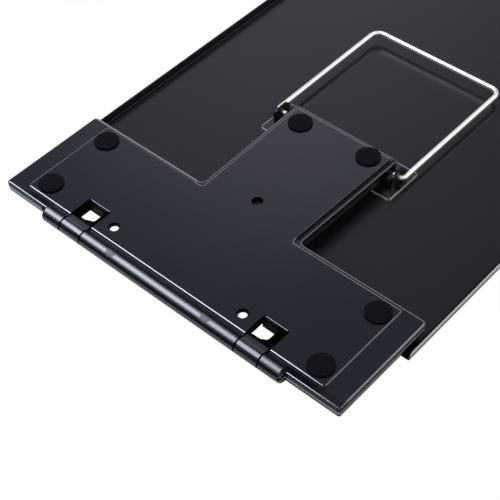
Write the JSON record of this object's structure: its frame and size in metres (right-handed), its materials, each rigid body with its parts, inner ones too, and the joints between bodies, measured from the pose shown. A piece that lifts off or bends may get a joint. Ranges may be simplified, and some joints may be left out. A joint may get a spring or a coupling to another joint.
{
  "type": "folding document holder",
  "caption": "Desk document holder that folds flat: a rimmed sheet-metal page board with a paper ledge, hinged to a T-shaped foot plate and propped by a wire bail.",
  "frame": {"origin": "under the middle of the folded holder's outline, on the surface that it lies on face down", "axes": "+X across the board, +Y along the board from the hinge to its top, +Z out of the board's back, towards the foot plate and its rubber feet"},
  "size_m": [0.2446, 0.3618, 0.0299],
  "materials": {
    "coated_sheet": "satin black coating",
    "moulded_black": "semi-gloss, moulded",
    "black_steel": "gloss black",
    "bright_wire": "bright plated",
    "bare_steel": "drawn",
    "foot_rubber": "matt"
  },
  "bodies": {
    "board": {"page_board": "coated_sheet", "paper_ledge": "moulded_black", "ledge_rivets": "black_steel", "bail_bracket": "black_steel", "bracket_rivets": "black_steel"},
    "foot": {"foot_plate": "moulded_black", "hinge_rod": "bare_steel", "angle_rack": "moulded_black", "rack_screw": "black_steel", "rubber_foot_low_left": "foot_rubber", "rubber_foot_low_right": "foot_rubber", "rubber_foot_bar_left": "foot_rubber", "rubber_foot_bar_right": "foot_rubber", "rubber_foot_tip_left": "foot_rubber", "rubber_foot_tip_right": "foot_rubber"},
    "bail": {"bail_wire": "bright_wire"}
  },
  "joints": [
    {"name": "base_hinge", "type": "hinge", "parent": "board", "child": "foot", "pos_m": [0, -0.1761, 0.0246], "axis": [1, 0, 0], "range_deg": [0, 120]},
    {"name": "bail_pivot", "type": "hinge", "parent": "board", "child": "bail", "pos_m": [0, -0.0295, 0.0213], "axis": [1, 0, 0], "range_deg": [0, 165]}
  ]
}
